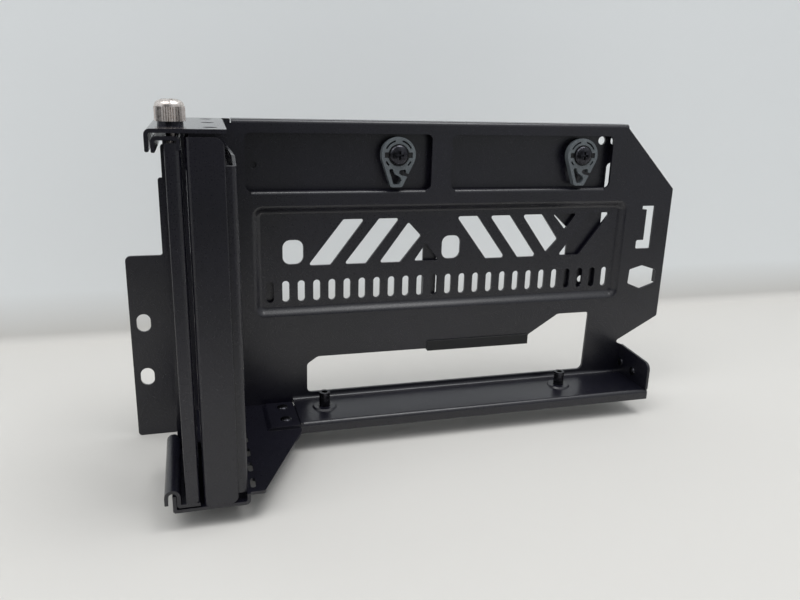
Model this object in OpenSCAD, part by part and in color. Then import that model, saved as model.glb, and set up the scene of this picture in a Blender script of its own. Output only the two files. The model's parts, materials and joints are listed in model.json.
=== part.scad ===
// Vertical graphics card mount: a folded sheet steel carriage that holds a
// graphics card upright, with a sliding rail plate that screws to the case.
// X runs along the main plate, Y away from its front, Z up.
// The origin is the middle of the footprint, at the lowest edge.

/* [Sheet steel] */
// Thickness of every folded sheet
sheet_t = 1.2; // [1:0.05:1.3]
// Height of the upper edge of the main plate
plate_top = 131.4; // [130:0.1:133]
// Front face of the main plate, measured in Y
plate_y = 31.5; // [31:0.1:32]
// How far the upper edge folds back
top_fold = 8; // [6:0.5:10]

/* [Windows of the main plate] */
// Lower edge of both windows
win_z0 = 103.3; // [102:0.1:104]
// Upper edge of both windows
win_z1 = 126.2; // [126:0.1:127]
// Left end of the left window
win_l0 = -74.8; // [-75:0.1:-74]
// Right end of the left window
win_l1 = 2.4; // [1:0.1:4]
// Left end of the right window
win_r0 = 11.2; // [10:0.1:12]
// Right end of the right window
win_r1 = 88.0; // [86:0.1:89]
// Corner radius of the windows
win_r = 2.2; // [1:0.2:4]

/* [Pressed panel] */
// Depth of the pressed panel
dish_d = 2.3; // [1.5:0.1:2.4]
// Width of the curved rim round the panel
dish_rim = 3.8; // [2.6:0.1:4]
// Upper end of the slanted cut-outs
cut_z1 = 91.0; // [88:0.1:92]
// Lower end of the slanted cut-outs
cut_z0 = 71.6; // [70:0.1:74]
// Number of upright slots in the lower row
row_n = 25; // [5:1:27]

/* [Riser tray] */
// Upper face of the tray
tray_top = 12.5; // [12.3:0.1:12.8]
// Depth of the tray in front of the main plate
tray_d = 24.6; // [22:0.2:26]
// Height of the front lip of the tray
lip_h = 4.8; // [3:0.1:5]
// Distance between the two standoffs
post_pitch = 110.8; // [100:0.1:112]
// Outer diameter of a standoff
post_d = 4.6; // [4.2:0.1:5.5]
// Height of a standoff over the tray
post_h = 6.9; // [5:0.1:9]

/* [Slot frame] */
// Near face of the slot frame, the post and the cap
near_y = -39.5; // [-40:0.1:-39]
// Far face of the slot frame
far_y = 2.2; // [1:0.1:3]
// Distance between two card slots
slot_pitch = 20.32; // [20.32:0.01:20.32]
// Width of one card slot
slot_w = 13.6; // [11:0.2:14]
// Upper face of the screw shelf
shelf_z = 129.3; // [129:0.1:129.6]

/* [Rail plate] */
// Front face of the rail plate
rail_y = 36; // [35.8:0.1:36.4]
// Distance between the two fixing slots of the case flange
flange_pitch = 23.4; // [20.3:0.1:24]
// Width of a fixing slot
flange_slot_w = 5.4; // [4:0.1:6]
// Height of a fixing slot
flange_slot_h = 7.6; // [7:0.1:10]

/* [Clips] */
// Radius of the round part of a clip
clip_r = 7.3; // [7:0.1:7.8]
// Length of a clip from its centre to the tip of its tail
clip_tail = 13.2; // [12:0.1:13.4]
// Thickness of a clip
clip_t = 3; // [2:0.1:3.5]
// Height of the clip centres
clip_z = 117.8; // [117.6:0.1:118.2]

/* [Thumbscrew] */
// Diameter of the knurled head
thumb_d = 9.4; // [8:0.1:10.5]
// Height of the knurled head under its dome
thumb_h = 4.4; // [4:0.1:5]
// Height of the dome on the head
dome_h = 2.3; // [2:0.1:3]
// Number of knurls round the head
knurl_n = 36; // [18:1:48]

/* [Hidden] */
$fn = 48;
t = sheet_t;
end_x = 122.15;
wall_x = -82.1;
bend_r = 1.7;
web_x = -98.0;
post_x = -96.8;
post_top = 129.1;
slot_mid_y = (near_y + far_y) / 2;
post_x0 = -45.3;
post_y = 21.0;
clip_x = [-12.5, 72.4];
end_rivet_at = [[28.8, 18.0], [18.6, 17.2]];
thumb_x = -100.8;
cap_x0 = -107.9;
cap_x1 = -82.9;

// Unit vector along v
function unit(v) = v / norm(v);

// Points of the fillet of radius r at corner b between a and c, in n steps
function fillet(a, b, c, r, n) =
    r <= 0 ? [b] :
    let (u = unit(a - b), v = unit(c - b))
    let (h = acos(max(-1, min(1, u * v))) / 2)
    let (m = b + unit(u + v) * (r / sin(h)))
    let (s = b + u * (r / tan(h)) - m, e = b + v * (r / tan(h)) - m)
    let (a0 = atan2(s[1], s[0]), d = ((atan2(e[1], e[0]) - a0 + 540) % 360) - 180)
    [for (k = [0:n]) m + r * [cos(a0 + d * k / n), sin(a0 + d * k / n)]];

// Outline p with every corner i rounded by radius r[i], or by r where r is one number
function soft(p, r, n = 4) =
    [for (i = [0:len(p) - 1])
        for (q = fillet(p[(i + len(p) - 1) % len(p)], p[i], p[(i + 1) % len(p)],
            is_list(r) ? r[i] : r, n)) q];

// Rectangle between two corners as an outline
function rect(x0, z0, x1, z1) = [[x0, z0], [x1, z0], [x1, z1], [x0, z1]];

// Upright sheet parallel to the main plate: outline in X and Z, front face at y
module sheet_xz(y, th = t) {
    translate([0, y + th, 0])
        rotate([90, 0, 0])
            linear_extrude(th) children();
}

// Upright sheet across the main plate: outline in Y and Z, left face at x
module sheet_yz(x, th = t) {
    translate([x, 0, 0])
        rotate([90, 0, 90])
            linear_extrude(th) children();
}

// Level sheet: outline in X and Y, lower face at z
module sheet_xy(z, th = t) {
    translate([0, 0, z])
        linear_extrude(th) children();
}

// Fold section drawn in X and Z and run along Y from y0 to y1
module fold_y(y0, y1) {
    translate([0, y1, 0])
        rotate([90, 0, 0])
            linear_extrude(y1 - y0) children();
}

// Round-ended slot, l long in all and w wide, upright
module slot_2d(w, l) {
    square([w, l - w], center = true);
    translate([0, (l - w) / 2])
        circle(d = w);
    translate([0, (w - l) / 2])
        circle(d = w);
}

// Part of a ring between two radii and two angles, with flat ends
module arc_2d(r0, r1, a0, a1, n = 10) {
    polygon(concat(
        [for (k = [0:n]) r1 * [cos(a0 + (a1 - a0) * k / n), sin(a0 + (a1 - a0) * k / n)]],
        [for (k = [n:-1:0]) r0 * [cos(a0 + (a1 - a0) * k / n), sin(a0 + (a1 - a0) * k / n)]]));
}

// Outline of the main plate under its folded edge: chamfered right end, notch over
// the end flange, and an ear that reaches behind the cap
module front_outline() {
    top = plate_top - bend_r;
    polygon(soft([[wall_x, 11.1], [-57.5, 11.1], [-57.5, tray_top], [104.4, tray_top],
        [104.4, 26.2], [100.0, 28.0], [end_x, 40.2], [end_x, 102.4], [95.2, top],
        [-79.6, top], [-79.6, 129.3], [-86, 129.3], [-86, 122.4], [wall_x, 122.4]],
        [0, 0, 0, 0, 0.5, 1.0, 1, 1, 0, 0, 0, 0.6, 0.4, 0]));
}

// Cable opening: low on the left, with a raised part on the right
module cable_opening() {
    polygon(soft([[-51.1, 15.1], [83.5, 15.1], [84.2, 44.2], [67.8, 44.2], [52.9, 34.7],
        [52.9, 31.6], [-46.4, 31.6], [-51.1, 28.4]], [2, 2.5, 1.5, 3, 2, 0.4, 3, 2]));
}

// One slanted bar of the pressed panel, from its corners
module bar(p, r = 0.8) {
    polygon(soft(p, r));
}

// Slanted bars that lean right, left and right again, with small wedges between them
module slanted_cuts() {
    z0 = cut_z0;
    z1 = cut_z1;
    for (x = [0, 15.4]) {
        bar([[-50.0 + x, z0], [-40.3 + x, z0], [-25.6 + x, z1], [-34.9 + x, z1]]);
    }
    bar([[-19.2, z0], [-9.6, z0], [-0.5, 83.0], [-6.4, 89.2]]);
    bar([[-3.5, z0 + 0.3], [8.0, z0 + 0.3], [1.9, 79.8]], 0.6);
    for (x = [0, 15.6]) {
        bar([[30.3 + x, z0 + 0.2], [39.8 + x, z0 + 0.2], [25.4 + x, z1 + 0.2],
            [15.6 + x, z1 + 0.2]]);
    }
    bar([[60.1, 73.6], [65.5, 79.6], [56.8, z1 + 0.3], [46.9, z1 + 0.3]]);
    bar([[68.8, 84.0], [73.9, z1 + 0.4], [62.0, z1 + 0.4]], 0.6);
    bar([[66.3, z0 + 0.4], [76.8, z0 + 0.4], [91.5, z1 + 0.6], [81.0, z1 + 0.6]]);
    for (x = [-56.2, 13.5]) {
        translate([x, 77.6])
            polygon(soft(rect(-4.3, -5.2, 4.3, 5.2), 3.2, 6));
    }
}

// Row of upright slots under the slanted bars
module slot_row() {
    for (i = [0:row_n - 1]) {
        translate([-66 + 157.6 * i / (row_n - 1), 60.8])
            slot_2d(3, 9.2);
    }
}

// Slit with two short feet, which frees a small tab at the right end of the plate
module tab_slit() {
    polygon(soft([[105.6, 74.2], [113.7, 74.2], [113.7, 94.6], [107.0, 94.6],
        [107.0, 92.9], [109.4, 92.9], [109.4, 78.4], [105.6, 78.4]],
        [0.8, 0.4, 0.4, 0.4, 0.4, 0.3, 0.3, 0.8]));
}

// Long six-sided hole
module six_hole() {
    polygon(soft([[103.6, 57.4], [111.0, 54.4], [118.8, 57.0], [118.8, 63.4],
        [110.3, 66.0], [103.9, 64.2]], [0.8, 1.2, 0.4, 0.4, 1.2, 0.8]));
}

// Outline in X and Z of the pressed panel, drawn in by a distance
function dish_ring(inset) =
    let (w = 171.7 / 2 - inset, h = 47.1 / 2 - inset)
    soft(rect(12.95 - w, 73.95 - h, 12.95 + w, 73.95 + h), max(1.6, 4.6 - inset), 6);

// Solid of the pressed panel: its rim falls from y0 to y1 along a cosine curve
module dish(grow, y0, y1) {
    steps = 7;
    rings = concat(
        [[for (q = dish_ring(-grow)) [q[0], y0 - 0.02, q[1]]]],
        [for (k = [0:steps])
            [for (q = dish_ring(dish_rim * k / steps - grow))
                [q[0], y0 + (y1 - y0) * (1 - cos(180 * k / steps)) / 2, q[1]]]]);
    n = len(rings[0]);
    m = len(rings) - 1;
    polyhedron(
        points = [for (r = rings) for (q = r) q],
        faces = concat(
            [for (i = [0:m - 1]) for (j = [0:n - 1])
                [i * n + j, i * n + (j + 1) % n, (i + 1) * n + (j + 1) % n]],
            [for (i = [0:m - 1]) for (j = [0:n - 1])
                [i * n + j, (i + 1) * n + (j + 1) % n, (i + 1) * n + j]],
            [[for (j = [n - 1:-1:0]) j]],
            [[for (j = [0:n - 1]) m * n + j]]));
}

// Section in Y and Z of a sheet edge bent back level: its flat top ends at height z,
// and the bend starts bend_r below it
module bent_edge(z, depth) {
    r0 = bend_r;
    r1 = bend_r - t;
    polygon(concat(
        [for (k = [0:6]) [plate_y + r0 - r0 * cos(k * 15), z - r0 + r0 * sin(k * 15)]],
        [[plate_y + depth, z], [plate_y + depth, z - t]],
        [for (k = [6:-1:0]) [plate_y + r0 - r1 * cos(k * 15), z - r0 + r1 * sin(k * 15)]]));
}

// Section in Y and Z carried along X
module run_x(x0, x1) {
    translate([x0, 0, 0])
        rotate([90, 0, 90])
            linear_extrude(x1 - x0) children();
}

// Main plate with its folded upper edge, windows, pressed panel and cable opening
module front_plate() {
    windows = [[win_l0, win_l1], [win_r0, win_r1]];
    color("#26272b") difference() {
        union() {
            difference() {
                union() {
                    sheet_xz(plate_y)
                        front_outline();
                    dish(t * 0.7, plate_y + t * 0.9, plate_y + dish_d + t);
                }
                dish(0, plate_y, plate_y + dish_d);
                sheet_xz(plate_y - 1, 3) {
                    for (w = windows) {
                        polygon(soft(rect(w[0], win_z0, w[1], win_z1), win_r));
                        polygon(rect(w[0] + win_r, win_z0 - bend_r, w[1] - win_r, win_z0 + 1));
                    }
                    tab_slit();
                    six_hole();
                }
            }
            run_x(-79.6, 95.2)
                bent_edge(plate_top, top_fold);
            for (w = windows) {
                run_x(w[0] + win_r, w[1] - win_r)
                    bent_edge(win_z0, 3.2);
            }
            translate([108.2, plate_y, 78.4])
                rotate([0, 0, 12])
                    cube([t, 3, 14.5]);
            translate([118.7, plate_y, 57.2])
                cube([t, 2.8, 6]);
        }
        sheet_xz(plate_y - 1, 8) {
            slanted_cuts();
            slot_row();
        }
        sheet_xz(plate_y - 1, 3)
            cable_opening();
    }
}

// Soft strip that covers the sheet edge where the cable passes
module cable_edge_guard() {
    color("#141416") difference() {
        translate([3.4, plate_y - 0.9, 30.7])
            cube([49.3, t + 1.8, 4.5]);
        translate([3.3, plate_y, 31.6])
            cube([49.5, t, 4]);
    }
}

// Tray under the riser card: folded front lip, filleted bend at the main plate,
// two round bosses and a lowered tongue
module riser_tray() {
    x0 = -57.5;
    x1 = 104.4;
    y0 = plate_y - tray_d;
    fold = 1.4;
    color("#26272b") difference() {
        union() {
            run_x(x0, x1)
                polygon(soft([[y0, tray_top - lip_h], [y0 + t, tray_top - lip_h],
                    [y0 + t, tray_top - t], [plate_y + t, tray_top - t],
                    [plate_y + t, tray_top], [y0, tray_top]],
                    [0.4, 0.4, 0.5, 0, 0, bend_r]));
            run_x(x0, x1 - t)
                polygon(concat([[plate_y, tray_top]],
                    [for (k = [0:6]) [plate_y - fold + fold * cos(k * 15),
                        tray_top + fold - fold * sin(k * 15)]]));
            for (x = [post_x0, post_x0 + post_pitch]) {
                translate([x, post_y, tray_top - t])
                    rotate_extrude()
                        polygon([[1.5, 0], [5.2, 0], [5.2, t], [4.6, t + 0.7], [1.5, t + 0.7]]);
            }
            run_x(-69, x0)
                polygon(rect(7.2, 9.9, 27.6, 11.1));
            translate([x0, 7.2, 9.9])
                cube([t, 20.4, tray_top - 9.9]);
        }
        for (x = [post_x0, post_x0 + post_pitch]) {
            translate([x, post_y, 5])
                cylinder(d = 3.2, h = 12);
        }
        for (y = [24.0, 12.3]) {
            translate([-62.9, y, 5])
                cylinder(d = 3, h = 12);
        }
        translate([100.8, 30.2, 5])
            cylinder(d = 1.6, h = 12);
    }
}

// Flange folded up at the right end of the tray, with a sloping upper edge
module end_gusset() {
    color("#26272b") difference() {
        sheet_yz(104.4 - t)
            polygon(soft([[plate_y - tray_d, tray_top], [plate_y, tray_top], [plate_y, 26.8],
                [plate_y - tray_d, 25.0]], [0, 0, 1, 3.2]));
        for (p = end_rivet_at) {
            translate([100, p[0], p[1]])
                rotate([0, 90, 0])
                    cylinder(d = 3, h = 8);
        }
    }
}

// Floor sheet: hooked channel under the slot frame, step at its end, three-sided floor
// with a row of slots, and a raised pad that laps over the tongue of the tray
module base_gusset() {
    color("#26272b") {
        fold_y(near_y, far_y)
            polygon(concat(
                [[-106.8, 7.6], [-106.2, 7.0]],
                [for (k = [0:6]) [-83.3 + 1.9 * sin(k * 15), 8.9 - 1.9 * cos(k * 15)]],
                [[-81.4, 11.1], [-82.6, 11.1]],
                [for (k = [6:-1:0]) [-83.3 + 0.7 * sin(k * 15), 8.9 - 0.7 * cos(k * 15)]],
                [[-105.6, 8.2], [-105.6, 13.2], [-106.8, 13.2]]));
        run_x(-100, -81.4)
            polygon(rect(far_y, 7.0, far_y + t, 10.5));
        difference() {
            sheet_xy(9.9)
                polygon(soft([[-81.4, near_y + 1], [-76.4, near_y + 1], [-59.2, -0.2],
                    [-57.7, 3.5], [-57.7, plate_y + t], [-100, plate_y + t], [-100, far_y],
                    [-81.4, far_y]], [0, 1.5, 2, 2, 0, 3, 0, 0]));
            translate([-70.0, 6.9, 9])
                cube([13, 21, 3]);
            for (i = [0:4]) {
                translate([-80.2, -32.5 + 11.2 * i, 9])
                    linear_extrude(3)
                        slot_2d(1.8, 6.4);
            }
        }
        difference() {
            union() {
                fold_y(5.4, 29)
                    polygon(soft([[-72.4, 9.9], [-70.6, 9.9], [-69.4, 11.3], [-58, 11.3],
                        [-58, tray_top], [-69.6, tray_top]], [0, 0, 0, 0, 0, 1.2]));
                run_x(-69.8, -58)
                    polygon(rect(5.4, 9.9, 6.9, 11.4));
                run_x(-69.8, -58)
                    polygon(rect(27.9, 9.9, 29, 11.4));
            }
            for (y = [24.0, 12.3]) {
                translate([-62.9, y, 9])
                    cylinder(d = 3, h = 5);
            }
        }
    }
}

// Wall between the main plate and the near face, open for the card, with a near flange
module inner_wall() {
    color("#26272b") difference() {
        translate([0, 0, 11.1])
            linear_extrude(112)
                polygon(soft([[-94, near_y + t], [wall_x, near_y + t], [wall_x, plate_y],
                    [wall_x - t, plate_y], [wall_x - t, near_y + 2 * t],
                    [-94, near_y + 2 * t]], [0.3, bend_r, 0, 0, 0.5, 0.3]));
        sheet_yz(-100, 20)
            polygon([[near_y - 1, 120.8], [near_y + 4, 120.8], [-29, 123.1], [-29, 124],
                [near_y - 1, 124]]);
        sheet_yz(wall_x - t - 1, 4)
            polygon(soft(rect(near_y + 8, 19, plate_y - 7, 118.4), 5));
    }
}

// Near post: rounded near face and a left web that is open for the card
module front_post() {
    color("#26272b") difference() {
        translate([0, 0, 8.2])
            linear_extrude(post_top - 8.2)
                polygon(soft([[post_x, near_y], [-85.5, near_y], [-85.5, near_y + t],
                    [post_x + t, near_y + t], [post_x + t, far_y], [post_x, far_y]],
                    [bend_r, 0.4, 0.3, 0.5, 0, 0]));
        sheet_xz(near_y - 1, 3)
            difference() {
                polygon(rect(post_x + 4, 0, -80, 140));
                polygon(soft(rect(post_x - 9, 8.2, -85.5, post_top), [0, 2.6, 3, 0], 6));
            }
        sheet_yz(post_x - 1, 4)
            polygon(soft(rect(near_y + 6, 18, far_y - 4, 123), 4));
    }
}

// Cap over the screw shelf: level plate, down-turned left lip and lapped back flange
module top_cap() {
    color("#26272b") difference() {
        union() {
            fold_y(near_y, plate_y + 2 * t)
                polygon(soft([[cap_x0, 124.8], [cap_x0 + t, 124.8],
                    [cap_x0 + t, plate_top - t], [cap_x1, plate_top - t], [cap_x1, plate_top],
                    [cap_x0, plate_top]], [0.4, 0.4, 0.5, 0.3, 0.3, bend_r]));
            sheet_xz(plate_y + t)
                polygon(soft([[-99.5, 104], [-76, 104], [-76, plate_top - bend_r],
                    [-79.9, plate_top - bend_r], [-79.9, plate_top], [-99.5, plate_top]],
                    [3, 2, 1, 0, 0.4, 0]));
        }
        sheet_xy(plate_top - 3, 5)
            polygon([[-84.8, near_y - 1], [cap_x1 + 1, near_y - 1], [cap_x1 + 1, plate_y],
                [cap_x1, plate_y]]);
        translate([thumb_x, slot_mid_y, plate_top - 5])
            cylinder(d = 4.6, h = 8);
        for (y = [24.0, -1.6, -29.6]) {
            translate([-89.2, y, plate_top - 5])
                cylinder(d = 4.4, h = 8);
        }
    }
}

// Section of the screw shelf in X and Z: down-turned left lip, level top, bend at the web
module shelf_section() {
    polygon(soft([[-106.2, 124.6], [-105.0, 124.6], [-105.0, shelf_z - t],
        [web_x - t, shelf_z - t], [web_x - t, shelf_z - 4], [web_x, shelf_z - 4],
        [web_x, shelf_z], [-106.2, shelf_z]],
        [0.4, 0.4, 0.5, 0.4, 0, 0, bend_r, bend_r]));
}

// Section of the hook in X and Z: foot under the web, rise, round top and outer leg
module hook_section() {
    x = -106.8;
    z = 12.9;
    r = 1.4;
    polygon(concat(
        [[web_x, 8.8], [web_x, 10.0], [x + r + t, 10.0]],
        [for (k = [0:12]) [x + (r + t) * cos(k * 15), z + (r + t) * sin(k * 15)]],
        [[x - r - t, 10.1], [x - r, 10.1]],
        [for (k = [12:-1:0]) [x + r * cos(k * 15), z + r * sin(k * 15)]],
        [[x + r, 9.4], [x + r + 0.6, 8.8]]));
}

// Removable frame that takes the card brackets: web with two slots, near and far
// flanges, shelf and hook
module slot_frame() {
    color("#26272b") difference() {
        union() {
            fold_y(near_y, far_y)
                shelf_section();
            fold_y(near_y, far_y)
                hook_section();
            translate([0, 0, 8.8])
                linear_extrude(shelf_z - t - 8.8)
                    polygon(soft([[-102.6, near_y], [web_x, near_y], [web_x, far_y],
                        [-104.2, far_y], [-104.2, far_y - t], [web_x - t, far_y - t],
                        [web_x - t, near_y + t], [-102.6, near_y + t]],
                        [0.4, bend_r, bend_r, 0.3, 0.3, 0.5, 0.5, 0.3]));
            sheet_xz(far_y - t)
                polygon(soft([[-105.4, 12.6], [-101, 12.6], [-101, 124], [-105, 124],
                    [-105, 24], [-105.4, 22]], [0.4, 0, 0, 1, 0, 0]));
        }
        translate([-103, near_y - 1, shelf_z - t - 0.8])
            cube([4, 1 + t, 0.8]);
        for (s = [-0.5, 0.5]) {
            sheet_yz(web_x - 3, 6)
                translate([slot_mid_y + s * slot_pitch, 69])
                    polygon(soft(rect(-slot_w / 2, -50, slot_w / 2, 50), 1.5));
            translate([-103.4, slot_mid_y + s * slot_pitch - 5.2, 8])
                cube([4.2, 10.4, 3]);
        }
        translate([thumb_x, slot_mid_y, shelf_z - 3])
            cylinder(d = 3.1, h = 4);
    }
}

// Outline of the rail plate: case flange, upper band and the two windows in it
module rail_outline() {
    difference() {
        polygon(soft([[-122.15, 0], [-70, 0], [-60.6, 14], [-60.6, 44.6], [88.3, 44.6],
            [88.3, 113.5], [96, 116], [96, 129], [-76, 129], [-92, 108.5], [-107.9, 108.5],
            [-107.9, 77.7], [-122.15, 77.7]],
            [1.5, 3, 3, 1, 2, 2, 1.5, 2, 3, 2, 1, 1, 2]));
        polygon(soft(rect(-60.6, 52, 1.4, 98), [0.5, 1.5, 1.5, 0.5]));
        polygon(soft([[7.6, 52], [71.6, 52], [71.6, 84], [64.4, 90.5], [64.4, 98], [7.6, 98]],
            [1.5, 1.5, 1, 1, 1, 1.5]));
    }
}

// Sliding plate behind the main plate, with the slotted flange for the case
module rail_plate() {
    color("#26272b") difference() {
        sheet_xz(rail_y)
            rail_outline();
        for (s = [-0.5, 0.5]) {
            sheet_xz(rail_y - 1, 4)
                translate([-116.9, 38.05 + s * flange_pitch])
                    slot_2d(flange_slot_w, flange_slot_h);
        }
        translate([-71.4, rail_y + 0.9, 113.4])
            rotate([90, 0, 0])
                cylinder(d = 2.8, h = 2);
        for (p = [[84.7, 124.0, 3.7], [90.9, 124.0, 3.7],
            [80.5, 59.5, 3.2], [clip_x[0], clip_z, 3], [clip_x[1], clip_z, 3]]) {
            translate([p[0], rail_y + 5, p[1]])
                rotate([90, 0, 0])
                    cylinder(d = p[2], h = 10);
        }
    }
}

// Teardrop clip: slotted ring round the bush, and a tail with a springy curved web
module clip_shape() {
    difference() {
        hull() {
            circle(r = clip_r, $fn = 64);
            translate([-2.2, 1.2 - clip_tail])
                circle(r = 1.2, $fn = 24);
            translate([1.0, 1.2 - clip_tail])
                circle(r = 1.2, $fn = 24);
        }
        circle(r = 4.5);
        for (s = [-1, 1]) {
            translate([s * 4.8, 0])
                square([2.4, 2.2], center = true);
        }
        for (a = [[26, 76], [104, 154], [206, 226], [314, 334]]) {
            arc_2d(5.5, 6.2, a[0], a[1]);
        }
        polygon(soft([[-4.1, -5.8], [-2.5, -5.5], [-1.5, -7.8], [0.8, -9.0], [1.5, -10.4],
            [0.4, -12.1], [-2.0, -12.1]], [0.5, 0.5, 0.5, 0.6, 0.5, 0.5, 0.6], 3));
        polygon(soft([[0.5, -6.3], [3.1, -5.7], [3.4, -7.3], [6.8, -8.6], [6.4, -9.8],
            [3.0, -8.6], [1.6, -8.4], [0.2, -7.4]], [0.5, 0.6, 0.4, 0, 0, 0.4, 0.6, 0.4], 3));
    }
}

// One clip at X position x
module clip(x) {
    color("#c9cdd0")
        translate([x, plate_y - 1.2 + clip_t, clip_z])
            rotate([90, 0, 0])
                linear_extrude(clip_t)
                    clip_shape();
}

module clip_left() {
    clip(clip_x[0]);
}

module clip_right() {
    clip(clip_x[1]);
}

// Black bush under the screw head, with two lugs that key it to the clip
module bush(x) {
    color("#17181a")
        translate([x, rail_y, clip_z])
            rotate([90, 0, 0])
                difference() {
                    union() {
                        cylinder(r = 4.4, h = rail_y - plate_y + 1.0);
                        for (s = [-1, 1]) {
                            translate([s * 4.8 - 1.1, -1, 3])
                                cube([2.2, 2, rail_y - plate_y - 2.2]);
                        }
                    }
                    translate([0, 0, -1])
                        cylinder(d = 3.2, h = 10);
                }
}

module clip_bush_left() {
    bush(clip_x[0]);
}

module clip_bush_right() {
    bush(clip_x[1]);
}

// Domed screw with a cross recess, turned into the rail plate
module clip_screw(x) {
    color("#1b1c1f")
        translate([x, plate_y - 1.0, clip_z])
            rotate([90, 0, 0])
                difference() {
                    union() {
                        rotate_extrude()
                            polygon(concat([[0, 0], [4.1, 0]],
                                [for (k = [0:6]) [4.1 * cos(k * 15), 0.5 + 1.6 * sin(k * 15)]]));
                        translate([0, 0, -7.2])
                            cylinder(d = 3.0, h = 7.3);
                    }
                    for (a = [0, 90]) {
                        rotate([0, 0, a])
                            translate([-1.7, -0.4, 0.8])
                                cube([3.4, 0.8, 3]);
                    }
                }
}

module clip_screw_left() {
    clip_screw(clip_x[0]);
}

module clip_screw_right() {
    clip_screw(clip_x[1]);
}

// Knurled head with a domed, cross-recessed crown, on a threaded shank
module thumbscrew() {
    r = thumb_d / 2;
    c = r - 0.2;
    color("#c4bfb8")
        translate([thumb_x, slot_mid_y, plate_top + 1.2])
            difference() {
                union() {
                    linear_extrude(thumb_h)
                        polygon([for (k = [0:2 * knurl_n - 1])
                            (k % 2 == 0 ? r : r - 0.35) * [cos(k * 180 / knurl_n),
                                sin(k * 180 / knurl_n)]]);
                    translate([0, 0, thumb_h])
                        rotate_extrude()
                            polygon(concat([[0, 0]],
                                [for (k = [0:9]) [c * pow(cos(k * 10), 0.7),
                                    dome_h * pow(sin(k * 10), 0.8)]]));
                    translate([0, 0, -7])
                        cylinder(d = 3.0, h = 7.1);
                }
                for (a = [20, 110]) {
                    rotate([0, 0, a])
                        translate([-2.6, -0.5, thumb_h + dome_h - 1.6])
                            cube([5.2, 1, 2]);
                }
            }
}

// Dark washer under the thumbscrew
module thumbscrew_washer() {
    color("#1b1c1f")
        translate([thumb_x, slot_mid_y, plate_top])
            difference() {
                cylinder(d = 8, h = 1.2);
                translate([0, 0, -1])
                    cylinder(d = 3.4, h = 4);
            }
}

// Tapped standoff with a plain barrel and a tail pressed into the tray
module standoff(x) {
    color("#191a1d")
        translate([x, post_y, tray_top + 0.7])
            difference() {
                union() {
                    cylinder(d = post_d, h = post_h - 0.7);
                    translate([0, 0, -1.9])
                        cylinder(d = 3.2, h = 2);
                }
                translate([0, 0, -3])
                    cylinder(d = 2.5, h = 12);
            }
}

module standoff_left() {
    standoff(post_x0);
}

module standoff_right() {
    standoff(post_x0 + post_pitch);
}

// Rivet with a low domed head of radius r on a shank of length l below it
module rivet(r, l) {
    rotate_extrude()
        polygon(concat([[0, -l], [1.5, -l], [1.5, 0], [r, 0]],
            [for (k = [1:6]) [r * cos(k * 15), 0.9 * sin(k * 15)]]));
}

module pad_rivets() {
    color("#1b1c1f") for (y = [24.0, 12.3]) {
        translate([-62.9, y, tray_top])
            rivet(2.3, 2.6);
    }
}

module end_rivets() {
    color("#1b1c1f") for (p = end_rivet_at) {
        translate([104.4 - t, p[0], p[1]])
            rotate([0, -90, 0])
                rivet(2.0, t);
    }
}

front_plate();
cable_edge_guard();
riser_tray();
end_gusset();
base_gusset();
inner_wall();
front_post();
top_cap();
slot_frame();
rail_plate();
clip_left();
clip_right();
clip_bush_left();
clip_bush_right();
clip_screw_left();
clip_screw_right();
thumbscrew();
thumbscrew_washer();
standoff_left();
standoff_right();
pad_rivets();
end_rivets();
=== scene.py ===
"""Looks of the vertical graphics card mount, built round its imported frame. Lengths are in metres."""
import json
import math

import bpy
import numpy as np
from mathutils import Matrix, Vector

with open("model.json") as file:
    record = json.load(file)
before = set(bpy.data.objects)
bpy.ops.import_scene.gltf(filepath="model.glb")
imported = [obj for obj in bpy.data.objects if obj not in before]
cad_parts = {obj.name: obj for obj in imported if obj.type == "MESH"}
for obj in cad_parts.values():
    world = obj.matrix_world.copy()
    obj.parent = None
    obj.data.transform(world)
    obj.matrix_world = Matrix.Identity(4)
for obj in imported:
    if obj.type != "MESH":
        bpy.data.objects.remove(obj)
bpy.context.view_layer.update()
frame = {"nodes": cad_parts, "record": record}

MM = 0.001
NODES = frame["nodes"]

# Where the camera stands, and its lens and sensor width in mm
CAMERA_AT = Vector((-95.73, -261.17, 144.24)) * MM
CAMERA_AZIMUTH = math.radians(-16.34)
CAMERA_ELEVATION = math.radians(16.29)
CAMERA_ROLL = math.radians(1.62)
CAMERA_LENS = 32.58
CAMERA_SENSOR = 36.0
CAMERA_NEAR = 10 * MM

# The table and the wall behind the object, and the height over which one colour turns to the other
WALL_Y = 165 * MM
COVE_R = 6 * MM
COVE_STEPS = 9
STAGE_HALF = 1500 * MM
TABLE_EDGE = -420 * MM
WALL_H = 1200 * MM
BOARD_FADE = (1 * MM, 30 * MM)

# Where the painted shade on the table, seen only in reflections, starts in front of the object
SHADE_START = -110 * MM

# Brightness of what is seen past them, where 1 is white
BACKDROP_LEVEL = 0.68

# Sheet edges: the width of the broken edge and its faces, how close two points are one, the angles in
# degrees up to which faces are flat and past which an edge is sharp, and how much the larger face shades
EDGE_W = 0.22 * MM
EDGE_STEPS = 2
JOIN_GAP = 0.002 * MM
FLAT_ANGLE = 0.5
SHARP_ANGLE = 30
FACE_WEIGHT = 60

# Lamps: place, side of the square and power in watts
MIDDLE = Vector((0, 0, 60 * MM))
WINDOW_LIGHT = ((-550 * MM, -400 * MM, 1100 * MM), 700 * MM, 4.9)
CEILING_LIGHT = ((250 * MM, -150 * MM, 1100 * MM), 550 * MM, 5.0)

# The room's brightness between two directions: by height, to the right and to the far left
ROOM_BY_HEIGHT = (0.05, 0.85, 0.09, 0.62)
ROOM_RIGHT = (0.05, 0.4, 0.0, 0.4)
ROOM_LEFT = (-0.85, -0.5, 0.6, 0.0)


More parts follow.
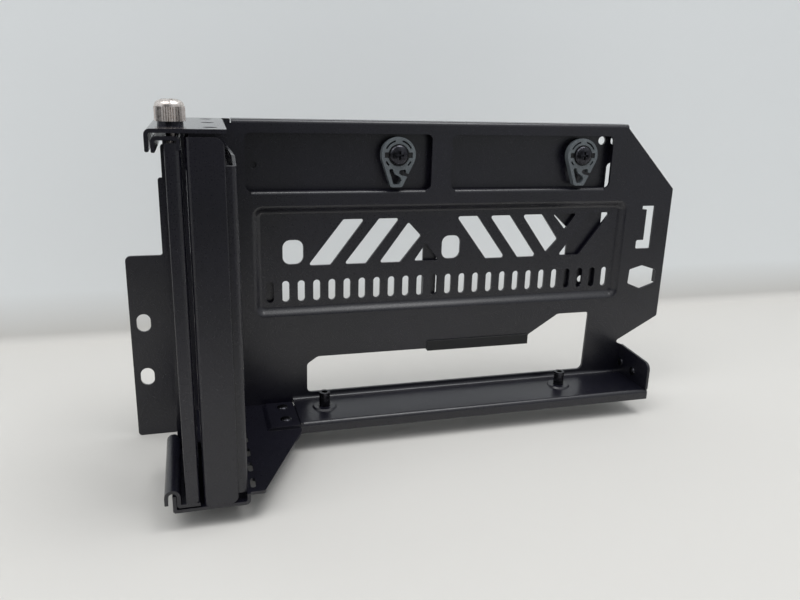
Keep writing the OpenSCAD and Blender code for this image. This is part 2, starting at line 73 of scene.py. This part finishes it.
def linear(code):
    """The linear colour of an sRGB hex code, with an alpha of 1."""
    channels = [int(code[i:i + 2], 16) / 255 for i in (0, 2, 4)]
    return [c / 12.92 if c <= 0.04045 else ((c + 0.055) / 1.055) ** 2.4 for c in channels] + [1.0]


def add(tree, kind, links=(), **settings):
    """A node of that kind. Settings are its own properties or its sockets' values, and each link is
    (socket of this node, other node, other node's output)."""
    node = tree.nodes.new(kind)
    for name, value in settings.items():
        if hasattr(node, name):
            setattr(node, name, value)
        else:
            node.inputs[name.replace("_", " ")].default_value = value
    for socket, other, output in links:
        tree.links.new(other.outputs[output], node.inputs[socket])
    return node


def shader(name, base, roughness, metallic=0.0, **sockets):
    """A new material with its tree and its Principled shader, whose even values are on its own sockets."""
    material = bpy.data.materials.new(name)
    material.use_nodes = True
    tree = material.node_tree
    tree.nodes.clear()
    values = {"Base Color": linear(base), "Roughness": roughness, "Metallic": metallic}
    values.update({k.replace("_", " "): v for k, v in sockets.items()})
    surface = add(tree, "ShaderNodeBsdfPrincipled")
    for socket, value in values.items():
        surface.inputs[socket].default_value = value
    add(tree, "ShaderNodeOutputMaterial", [("Surface", surface, "BSDF")])
    return material, tree, surface


def noise(tree, where, size_mm, detail=2.0, rough=0.5):
    """Noise whose features are about size_mm across."""
    return add(tree, "ShaderNodeTexNoise", [("Vector", where, "Object")],
               Scale=1 / (size_mm * MM), Detail=detail, Roughness=rough)


def ramp(tree, source, output, stops):
    """A colour ramp over a node's output, whose stops are (position, hex colour)."""
    node = add(tree, "ShaderNodeValToRGB", [("Fac", source, output)])
    elements = node.color_ramp.elements
    while len(elements) < len(stops):
        elements.new(0.5)
    for element, (at, code) in zip(elements, stops):
        element.position = at
        element.color = linear(code)
    return node


def spread(tree, source, output, low, high, out_low, out_high):
    """A value carried from one range to another, held at its ends."""
    return add(tree, "ShaderNodeMapRange", [("Value", source, output)],
               From_Min=low, From_Max=high, To_Min=out_low, To_Max=out_high)


def powder_coated_steel():
    """Fine-textured black powder coat, sprayed dry and baked: orange-peel grains of about 0.5 mm break
    up the reflections of the table and the room, which are most of what is seen of its near-black. At
    grazing angles the cured film is glossier."""
    material, tree, surface = shader("powder_coated_steel", "0D0C16", 0.32, Specular_IOR_Level=0.65)
    where = add(tree, "ShaderNodeTexCoord")
    grain = noise(tree, where, 0.5, 3.0, 0.6)
    patches = noise(tree, where, 22, 2.0)
    colour = ramp(tree, patches, "Fac", [(0.35, "0A0A14"), (0.65, "0F0E19")])
    satin = spread(tree, grain, "Fac", 0.3, 0.7, 0.24, 0.4)
    graze = add(tree, "ShaderNodeLayerWeight", Blend=0.5)
    film = spread(tree, graze, "Facing", 0.75, 0.96, 1.0, 0.4)
    gloss = add(tree, "ShaderNodeMath", [(0, satin, "Result"), (1, film, "Result")], operation="MULTIPLY")
    bump = add(tree, "ShaderNodeBump", [("Height", grain, "Fac")], Strength=0.5, Distance=0.03 * MM)
    tree.links.new(colour.outputs["Color"], surface.inputs["Base Color"])
    tree.links.new(gloss.outputs["Value"], surface.inputs["Roughness"])
    tree.links.new(bump.outputs["Normal"], surface.inputs["Normal"])
    return material


def moulded_acetal():
    """Grey acetal, moulded with a satin finish: it looks a little milky, with soft highlights."""
    material, tree, surface = shader("moulded_acetal", "5E6468", 0.4)
    where = add(tree, "ShaderNodeTexCoord")
    grain = noise(tree, where, 0.6, 2.0)
    colour = ramp(tree, noise(tree, where, 5, 2.0), "Fac", [(0.3, "595F63"), (0.7, "666C70")])
    bump = add(tree, "ShaderNodeBump", [("Height", grain, "Fac")], Strength=0.12, Distance=0.03 * MM)
    tree.links.new(colour.outputs["Color"], surface.inputs["Base Color"])
    tree.links.new(bump.outputs["Normal"], surface.inputs["Normal"])
    return material


def moulded_black_nylon():
    """Black nylon, moulded: a matt body with a faint sheen."""
    material, tree, surface = shader("moulded_black_nylon", "1B1B1D", 0.5)
    where = add(tree, "ShaderNodeTexCoord")
    grain = noise(tree, where, 0.5, 2.0)
    bump = add(tree, "ShaderNodeBump", [("Height", grain, "Fac")], Strength=0.15, Distance=0.03 * MM)
    tree.links.new(bump.outputs["Normal"], surface.inputs["Normal"])
    return material


def black_oxide_steel():
    """Turned steel with a black oxide finish: thin and dark, with a clear metallic highlight."""
    material, tree, surface = shader("black_oxide_steel", "38383C", 0.2, metallic=1.0)
    where = add(tree, "ShaderNodeTexCoord")
    wear = noise(tree, where, 1.2, 3.0)
    colour = ramp(tree, wear, "Fac", [(0.35, "2C2C30"), (0.7, "46464B")])
    gloss = spread(tree, wear, "Fac", 0.3, 0.7, 0.14, 0.3)
    tree.links.new(colour.outputs["Color"], surface.inputs["Base Color"])
    tree.links.new(gloss.outputs["Result"], surface.inputs["Roughness"])
    return material


def nickel_plated_steel():
    """Nickel plate on turned steel: a bright, slightly warm metal with fine turning marks."""
    material, tree, surface = shader("nickel_plated_steel", "E2D9D2", 0.22, metallic=1.0)
    where = add(tree, "ShaderNodeTexCoord")
    marks = noise(tree, where, 0.8, 3.0)
    colour = ramp(tree, marks, "Fac", [(0.3, "D2C7C0"), (0.7, "EEE7E2")])
    gloss = spread(tree, marks, "Fac", 0.3, 0.7, 0.16, 0.34)
    tree.links.new(colour.outputs["Color"], surface.inputs["Base Color"])
    tree.links.new(gloss.outputs["Result"], surface.inputs["Roughness"])
    return material


def extruded_rubber():
    """Black edge strip, extruded from soft rubber: matt, with a dusty sheen at grazing angles."""
    material, tree, surface = shader("extruded_rubber", "161617", 0.72, Sheen_Weight=0.1)
    where = add(tree, "ShaderNodeTexCoord")
    grain = noise(tree, where, 0.8, 2.0)
    bump = add(tree, "ShaderNodeBump", [("Height", grain, "Fac")], Strength=0.2, Distance=0.05 * MM)
    tree.links.new(bump.outputs["Normal"], surface.inputs["Normal"])
    return material


FINISHES = {
    "black_powder_coat": powder_coated_steel(),
    "clip_acetal": moulded_acetal(),
    "bush_plastic": moulded_black_nylon(),
    "black_screw": black_oxide_steel(),
    "nickel": nickel_plated_steel(),
    "edge_rubber": extruded_rubber(),
}


def dress(node, slot):
    """Gives a CAD node its finish."""
    part = NODES[node]
    part.data.materials.clear()
    part.data.materials.append(FINISHES[slot])


for subpart in frame["record"]["subparts"]:
    dress(subpart["node"], subpart["material_slot"])


def round_edges(node):
    """Breaks the sharp edges of a sheet: its loose triangles are joined to whole faces, every sharp edge
    gets a small arc, and the shading of each face follows its largest flat."""
    part = NODES[node]
    weld = part.modifiers.new("join", "WELD")
    weld.merge_threshold = JOIN_GAP
    faces = part.modifiers.new("whole_faces", "DECIMATE")
    faces.decimate_type = "DISSOLVE"
    faces.angle_limit = math.radians(FLAT_ANGLE)
    bevel = part.modifiers.new("broken_edges", "BEVEL")
    bevel.width = EDGE_W
    bevel.segments = EDGE_STEPS
    bevel.limit_method = "ANGLE"
    bevel.angle_limit = math.radians(SHARP_ANGLE)
    bevel.use_clamp_overlap = True
    flat = part.modifiers.new("flat_faces", "WEIGHTED_NORMAL")
    flat.mode = "FACE_AREA_WITH_ANGLE"
    flat.weight = FACE_WEIGHT


for sheet in ("front_plate", "riser_tray", "end_gusset", "base_gusset", "inner_wall", "front_post",
              "top_cap", "slot_frame", "rail_plate"):
    round_edges(sheet)


def grid_piece(name, points, material):
    """A mesh over a grid of points, of shape (rows, columns, 3), with one quad in each cell."""
    rows, columns = points.shape[:2]
    index = np.arange(rows * columns).reshape(rows, columns)
    quads = np.stack([index[:-1, :-1], index[:-1, 1:], index[1:, 1:], index[1:, :-1]], axis=-1)
    mesh = bpy.data.meshes.new(name)
    mesh.from_pydata(points.reshape(-1, 3).tolist(), [], quads.reshape(-1, 4).tolist())
    mesh.materials.append(material)
    mesh.polygons.foreach_set("use_smooth", np.ones(len(mesh.polygons), bool))
    piece = bpy.data.objects.new(name, mesh)
    bpy.context.scene.collection.objects.link(piece)
    return piece


def stage_material():
    """Matt pale board, warm on the table and bluer on the wall. What the coat reflects of the table
    carries painted shade, deeper with Y towards the table's front edge; camera rays see the board
    without it. The board is clear from its back, so that the object can be looked at from behind the wall."""
    material, tree, surface = shader("painted_board", "D8D6D2", 0.8, Specular_IOR_Level=0.2)
    where = add(tree, "ShaderNodeTexCoord")
    split = add(tree, "ShaderNodeSeparateXYZ", [("Vector", where, "Object")])
    rise = spread(tree, split, "Z", *BOARD_FADE, 0, 1)
    board = ramp(tree, rise, "Result", [(0.0, "CFCDC9"), (1.0, "EAEDEE")])
    # Painted shade: for all but camera rays the table is darkened towards its front edge
    front = spread(tree, split, "Y", TABLE_EDGE, SHADE_START, 0, 1)
    shade = ramp(tree, front, "Result", [(0.0, "5A5A5A"), (1.0, "FFFFFF")])
    both = add(tree, "ShaderNodeMix", data_type="RGBA", blend_type="MULTIPLY")
    ray = add(tree, "ShaderNodeLightPath")
    unseen = spread(tree, ray, "Is Camera Ray", 0, 1, 1, 0)
    tree.links.new(unseen.outputs["Result"], both.inputs["Factor"])
    colours = [s for s in both.inputs if s.type == "RGBA"]
    tree.links.new(board.outputs["Color"], colours[0])
    tree.links.new(shade.outputs["Color"], colours[1])
    result = [s for s in both.outputs if s.type == "RGBA"][0]
    tree.links.new(result, surface.inputs["Base Color"])
    side = add(tree, "ShaderNodeNewGeometry")
    clear = add(tree, "ShaderNodeBsdfTransparent")
    board_or_clear = add(tree, "ShaderNodeMixShader",
                         [("Fac", side, "Backfacing"), (1, surface, "BSDF"), (2, clear, "BSDF")])
    tree.links.new(board_or_clear.outputs["Shader"], tree.nodes["Material Output"].inputs["Surface"])
    return material


def table_and_wall():
    """The floor runs back to a small cove and rises as the wall: a profile in Y and Z, carried in X."""
    turn = np.linspace(0, math.pi / 2, COVE_STEPS)
    y = np.concatenate([[TABLE_EDGE], WALL_Y - COVE_R + COVE_R * np.sin(turn), [WALL_Y]])
    z = np.concatenate([[0.0], COVE_R - COVE_R * np.cos(turn), [WALL_H]])
    x = np.array([-STAGE_HALF, STAGE_HALF])
    points = np.empty((len(y), len(x), 3))
    points[..., 0] = x[None, :]
    points[..., 1] = y[:, None]
    points[..., 2] = z[:, None]
    piece = grid_piece("table_and_wall", points, stage_material())


table_and_wall()


def soft_box(name, at, side, watts):
    """A white square lamp with that side, turned towards the middle of the object."""
    light = bpy.data.lights.new(name, "AREA")
    light.shape = "SQUARE"
    light.size = side
    light.energy = watts
    lamp = bpy.data.objects.new(name, light)
    lamp.location = at
    lamp.rotation_mode = "QUATERNION"
    lamp.rotation_quaternion = (Vector(at) - MIDDLE).to_track_quat("Z", "Y")
    bpy.context.scene.collection.objects.link(lamp)


soft_box("window_light", *WINDOW_LIGHT)
soft_box("ceiling_light", *CEILING_LIGHT)


def room_light():
    """A pale ceiling over a room that is dim at eye level in front and lighter to the sides: brightness
    rises with the height of the direction, and with its turn to the right and to the far left. Past the
    table and the wall the camera sees an even pale backdrop."""
    world = bpy.data.worlds.new("room")
    bpy.context.scene.world = world
    world.use_nodes = True
    tree = world.node_tree
    tree.nodes.clear()
    toward = add(tree, "ShaderNodeTexCoord")
    split = add(tree, "ShaderNodeSeparateXYZ", [("Vector", toward, "Generated")])
    ceiling = spread(tree, split, "Z", *ROOM_BY_HEIGHT)
    right = spread(tree, split, "X", *ROOM_RIGHT)
    left = spread(tree, split, "X", *ROOM_LEFT)
    sides = add(tree, "ShaderNodeMath", [(0, left, "Result"), (1, right, "Result")], operation="ADD")
    light = add(tree, "ShaderNodeMath", [(0, ceiling, "Result"), (1, sides, "Value")], operation="ADD")
    ray = add(tree, "ShaderNodeLightPath")
    seen = add(tree, "ShaderNodeMix", [(0, ray, "Is Camera Ray"), (2, light, "Value")])
    seen.inputs[3].default_value = BACKDROP_LEVEL
    background = add(tree, "ShaderNodeBackground", [("Strength", seen, 0)], Color=linear("F2F5F8"))
    add(tree, "ShaderNodeOutputWorld", [("Surface", background, "Background")])


room_light()


def photo_camera():
    """The camera's back axis from azimuth and elevation, then a roll about it."""
    a, e, r = CAMERA_AZIMUTH, CAMERA_ELEVATION, CAMERA_ROLL
    back = Vector((math.sin(a) * math.cos(e), -math.cos(a) * math.cos(e), math.sin(e)))
    right = Vector((math.cos(a), math.sin(a), 0))
    up = back.cross(right)
    side = right * math.cos(r) + up * math.sin(r)
    head = up * math.cos(r) - right * math.sin(r)
    turn = Matrix((side, head, back)).transposed().to_4x4()
    data = bpy.data.cameras.new("camera")
    data.sensor_width = CAMERA_SENSOR
    data.lens = CAMERA_LENS
    data.clip_start = CAMERA_NEAR
    camera = bpy.data.objects.new("camera", data)
    camera.matrix_world = Matrix.Translation(CAMERA_AT) @ turn
    bpy.context.scene.collection.objects.link(camera)
    bpy.context.scene.camera = camera


photo_camera()

bpy.context.scene.view_settings.view_transform = "Standard"
